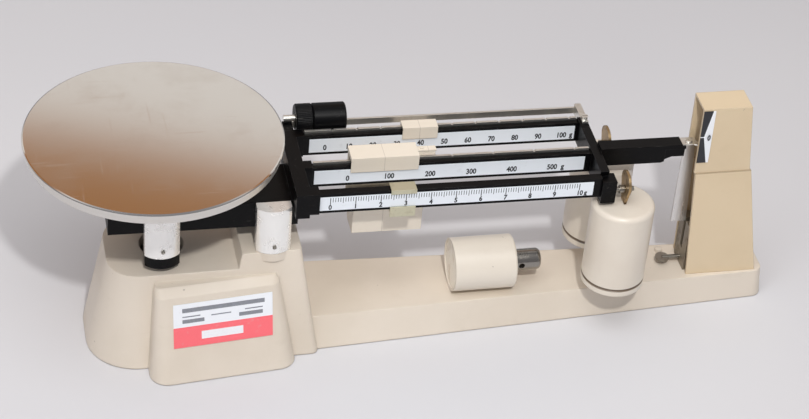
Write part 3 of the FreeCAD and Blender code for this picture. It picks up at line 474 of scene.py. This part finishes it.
# name, left, right, bottom and top as shares of the label, material
LABEL_BARS = (
    ("label_title_bar", 0.09, 0.92, 0.80, 0.895, PALE_INK),
    ("label_left_bar", 0.09, 0.31, 0.555, 0.64, PALE_INK),
    ("label_left_fine_bar", 0.09, 0.27, 0.69, 0.715, PALE_INK),
    ("label_middle_fine_bar", 0.38, 0.58, 0.66, 0.685, PALE_INK),
    ("label_right_bar", 0.66, 0.90, 0.555, 0.64, PALE_INK),
    ("label_right_fine_bar", 0.72, 0.90, 0.69, 0.715, PALE_INK),
    ("label_band_bar", 0.28, 0.70, 0.15, 0.33, WHITE_INK),
)
BLOCK_TALL = 54.8
LABEL_THICK = 0.55


def label_face(x, z):
    """The y of the label's face, which leans with the block behind it."""
    share = z / BLOCK_TALL
    lower = -58 + 8.6 * (x + 7.5) / 89.5
    upper = -42.8 + 7.6 * (x + 3.9) / 76.1
    return lower * (1 - share) + upper * share - LABEL_THICK


def label_marks():
    """Plain bars where a label carries its lines of print: no words."""
    low, high = (Vector(corner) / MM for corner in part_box("label_plate"))
    run = high.x - low.x
    tall = high.z - low.z
    for name, left, right, bottom, top, material in LABEL_BARS:
        mesh = bpy.data.meshes.new(name)
        made = bmesh.new()
        corners = [
            (low.x + run * across, low.z + tall * up)
            for across, up in ((left, bottom), (right, bottom), (right, top), (left, top))
        ]
        outer = [made.verts.new(Vector((x, label_face(x, z) - 0.05, z)) * MM) for x, z in corners]
        inner = [made.verts.new(Vector((x, label_face(x, z) + 0.02, z)) * MM) for x, z in corners]
        made.faces.new(outer)
        made.faces.new(inner[::-1])
        for index in range(4):
            after = (index + 1) % 4
            made.faces.new((outer[after], outer[index], inner[index], inner[after]))
        made.to_mesh(mesh)
        made.free()
        marked_piece(name, mesh, material, "base")


front_scale()
notch_scale("middle", MIDDLE_FACE, 115.6, 25.42, 100, 6, 6.6)
notch_scale("rear", REAR_FACE, 107.3, 14.95, 10, 11, 6.2)
label_marks()
printed("index_zero", "0", (338.35, -10.42, 122.9), 4.0, "base", Matrix(), 0.72)


# ------------------------------------------------------------------ floor, light and camera
def floor_surface():
    f = Finish("floor_pale")
    tone = f.ramp(f.noise(1.5, 2), 0.3, 0.7)
    return f.finish(f.mix(tone, shade(217, 217, 220), shade(211, 211, 215)), 0.6 + f.noise(40, 2) * 0.05)


def floor():
    mesh = bpy.data.meshes.new("studio_floor")
    made = bmesh.new()
    bmesh.ops.create_grid(made, x_segments=1, y_segments=1, size=6.0)
    made.to_mesh(mesh)
    made.free()
    mesh.materials.append(floor_surface())
    thing = bpy.data.objects.new("studio_floor", mesh)
    thing.location.z = -0.0004
    bpy.context.collection.objects.link(thing)


CAMERA_AT = Vector((-0.12495, -1.07895, 0.93237))
SENSOR_WIDE = 36.0
LENS_LONG = 102.24
# name, place, what it points at, size, power, tint
LIGHTS = (
    ("key_light", (0.06, -1.14, 1.46), (0.1, 0, 0.06), (0.07, 0.07), 14.5, (1.0, 0.985, 0.965)),
    ("fill_light", (-1.1, -1.0, 1.1), (0.1, 0, 0.05), (0.9, 0.9), 3.5, (1, 1, 1)),
    ("top_light", (-0.1, -0.5, 1.6), (0.1, 0, 0), (1.4, 1.0), 12, (1, 1, 1)),
)
AIR_STRENGTH = 0.62


def softbox(name, place, target, size, power, tint):
    light = bpy.data.lights.new(name, "AREA")
    light.shape = "RECTANGLE"
    light.size, light.size_y = size
    light.energy = power
    light.color = tint
    thing = bpy.data.objects.new(name, light)
    thing.location = place
    thing.rotation_euler = (Vector(target) - Vector(place)).to_track_quat("-Z", "Y").to_euler()
    bpy.context.collection.objects.link(thing)


def camera():
    """The camera stands in front and to the left, above the balance, turned a little clockwise."""
    yaw = 0.25254
    pitch = 0.65463
    roll = 0.08748
    ahead = Vector((math.sin(yaw) * math.cos(pitch), math.cos(yaw) * math.cos(pitch), -math.sin(pitch)))
    level = Vector((math.cos(yaw), -math.sin(yaw), 0))
    lift = level.cross(ahead)
    right = math.cos(roll) * level + math.sin(roll) * lift
    up = -math.sin(roll) * level + math.cos(roll) * lift
    lens = bpy.data.cameras.new("studio_camera")
    lens.sensor_width = SENSOR_WIDE
    lens.lens = LENS_LONG
    thing = bpy.data.objects.new("studio_camera", lens)
    turn = Matrix((right, up, -ahead)).transposed().to_4x4()
    thing.matrix_world = Matrix.Translation(CAMERA_AT) @ turn
    bpy.context.collection.objects.link(thing)
    bpy.context.scene.camera = thing


def surround():
    """Grey air with a bright wall to the back and, above it, a warm one that the pan mirrors."""
    world = bpy.data.worlds.new("studio_air")
    world.use_nodes = True
    tree = world.node_tree
    air = Finish.__new__(Finish)
    air.tree = tree
    back = tree.nodes["Background"]
    place = Socket(air, tree.nodes.new("ShaderNodeTexCoord").outputs["Generated"])
    x, y, z = (air.node("ShaderNodeSeparateXYZ", inputs={0: place}, output=index) for index in range(3))
    lean = z - (x - 0.09) * 0.15
    behind = air.ramp(y, 0.1, 0.4)
    bright = air.ramp(z, 0.2, 0.45) * behind
    warm = air.ramp(lean, 0.576, 0.604) * behind * air.ramp(z, 0.86, 0.76)
    color = air.mix(bright, shade(172, 172, 178), (1.24, 1.2, 1.17, 1))
    color = air.mix(warm, color, (0.58, 0.28, 0.115, 1))
    tree.links.new(color.link, back.inputs[0])
    back.inputs[1].default_value = AIR_STRENGTH
    bpy.context.scene.world = world


def studio():
    floor()
    for light in LIGHTS:
        softbox(*light)
    surround()
    bpy.context.scene.view_settings.view_transform = "Standard"


studio()
camera()
